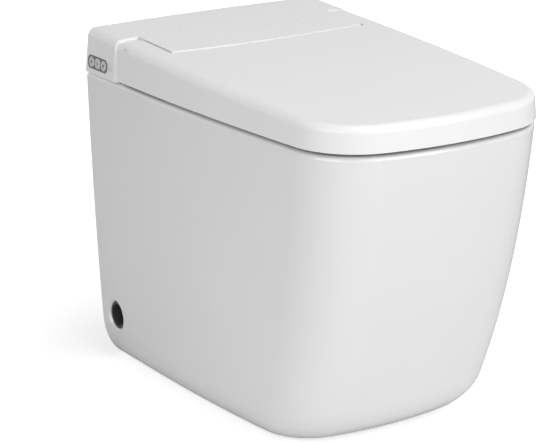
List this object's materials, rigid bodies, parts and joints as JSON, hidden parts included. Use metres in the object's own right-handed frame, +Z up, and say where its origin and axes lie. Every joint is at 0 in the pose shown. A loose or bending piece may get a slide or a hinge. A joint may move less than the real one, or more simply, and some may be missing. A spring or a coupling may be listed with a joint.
{
  "type": "smart toilet with heated seat",
  "caption": "Floor-standing back-to-wall smart toilet with a flush slab lid, heated seat, retractable washing wands, warm-air dryer and push buttons on its side.",
  "frame": {"origin": "on the floor under the middle of the toilet's bounding box", "axes": "+Z up, -Y towards the user in front, +Y towards the wall, +X to the right of someone facing the toilet"},
  "size_m": [0.3831, 0.6094, 0.4904],
  "materials": {
    "china": "gloss glaze",
    "cover_plastic": "gloss",
    "lid_plastic": "gloss",
    "liner_plastic": "satin",
    "seat_plastic": "gloss",
    "panel_plastic": "satin",
    "button_plastic": "satin",
    "smoked_window": "gloss",
    "heater_foil": "matt foil",
    "buffer_rubber": "matt",
    "steel": "brushed",
    "damper_plastic": "matt",
    "inner_plastic": "matt",
    "wand_plastic": "satin",
    "gear_plastic": "matt",
    "motor_can": "plated",
    "brass_fitting": "plated brass",
    "heater_body": "matt",
    "hose_rubber": "matt",
    "pipe_plastic": "satin",
    "power_case": "satin",
    "board": "lacquered board",
    "galvanised": "zinc plated",
    "sleeve_plastic": "matt"
  },
  "bodies": {
    "toilet": {"ceramic_pan": "china", "pan_rim": "china", "pan_bowl": "china", "pan_trap": "china", "pan_outlet": "china", "rear_housing": "cover_plastic", "control_panel": "panel_plastic", "status_window": "smoked_window", "hinge_pins": "steel", "seat_damper": "damper_plastic", "lid_damper": "damper_plastic", "base_plate": "inner_plastic", "housing_screws": "steel", "deck_bolts": "steel", "nozzle_tray": "inner_plastic", "nozzle_motor_rear": "motor_can", "nozzle_motor_front": "motor_can", "nozzle_bezel": "wand_plastic", "dryer_duct": "inner_plastic", "dryer_housing": "inner_plastic", "dryer_motor": "motor_can", "inlet_connector": "brass_fitting", "solenoid_valve": "inner_plastic", "water_heater": "heater_body", "heater_hose": "hose_rubber", "flush_valve": "inner_plastic", "supply_hose": "hose_rubber", "flush_pipe": "pipe_plastic", "spud_seal": "buffer_rubber", "power_supply": "power_case", "control_board": "board", "floor_brackets": "galvanised", "fixing_sleeves": "sleeve_plastic", "fixing_screws": "steel", "floor_bolts": "steel"},
    "seat_unit": {"seat_top": "seat_plastic", "seat_base": "seat_plastic", "seat_heater": "heater_foil", "seat_buffers": "buffer_rubber"},
    "lid_unit": {"lid_shell": "lid_plastic", "lid_liner": "liner_plastic", "lid_buffers": "buffer_rubber"},
    "rear_button": {"button_rear": "button_plastic"},
    "middle_button": {"button_middle": "button_plastic"},
    "front_button": {"button_front": "button_plastic"},
    "rear_wand": {"nozzle_rear": "wand_plastic"},
    "front_wand": {"nozzle_front": "wand_plastic"},
    "rear_pinion": {"pinion_rear": "gear_plastic"},
    "front_pinion": {"pinion_front": "gear_plastic"},
    "fan_wheel": {"dryer_impeller": "gear_plastic"},
    "air_flap": {"dryer_flap": "wand_plastic"}
  },
  "joints": [
    {"name": "seat_hinge", "type": "hinge", "parent": "toilet", "child": "seat_unit", "pos_m": [0, 0.19275, 0.466], "axis": [-1, 0, 0], "range_deg": [0, 96]},
    {"name": "lid_hinge", "type": "hinge", "parent": "seat_unit", "child": "lid_unit", "pos_m": [0, 0.19275, 0.466], "axis": [1, 0, 0], "range_deg": [-100, 0]},
    {"name": "rear_button_press", "type": "slide", "parent": "toilet", "child": "rear_button", "axis": [0.9976, 0, -0.0698], "range_m": [0, 0.0015], "stiffness_N_per_m": 600, "springref_m": -0.001},
    {"name": "middle_button_press", "type": "slide", "parent": "toilet", "child": "middle_button", "axis": [0.9976, 0, -0.0698], "range_m": [0, 0.0015], "stiffness_N_per_m": 600, "springref_m": -0.001},
    {"name": "front_button_press", "type": "slide", "parent": "toilet", "child": "front_button", "axis": [0.9976, 0, -0.0698], "range_m": [0, 0.0015], "stiffness_N_per_m": 600, "springref_m": -0.001},
    {"name": "rear_wand_slide", "type": "slide", "parent": "toilet", "child": "rear_wand", "axis": [0, -0.9272, -0.3746], "range_m": [0, 0.1]},
    {"name": "rear_pinion_spin", "type": "hinge", "parent": "toilet", "child": "rear_pinion", "pos_m": [0, 0.14172, 0.44046], "axis": [-1, 0, 0], "range_deg": [-5, 720]},
    {"name": "front_wand_slide", "type": "slide", "parent": "toilet", "child": "front_wand", "axis": [0, -0.9272, -0.3746], "range_m": [0, 0.1]},
    {"name": "front_pinion_spin", "type": "hinge", "parent": "toilet", "child": "front_pinion", "pos_m": [0, 0.14172, 0.44046], "axis": [-1, 0, 0], "range_deg": [-5, 720]},
    {"name": "fan_spin", "type": "hinge", "parent": "toilet", "child": "fan_wheel", "pos_m": [0, 0.24675, 0.457], "axis": [1, 0, 0], "continuous": true},
    {"name": "air_flap_hinge", "type": "hinge", "parent": "toilet", "child": "air_flap", "pos_m": [0, 0.13564, 0.42507], "axis": [-1, 0, 0], "range_deg": [0, 60], "stiffness_Nm_per_rad": 0.0006, "springref_deg": -17.19}
  ],
  "couplings": [
    {"joint": "rear_pinion_spin", "follows": "rear_wand_slide", "rad_per_m": 125},
    {"joint": "front_pinion_spin", "follows": "front_wand_slide", "rad_per_m": 125}
  ]
}
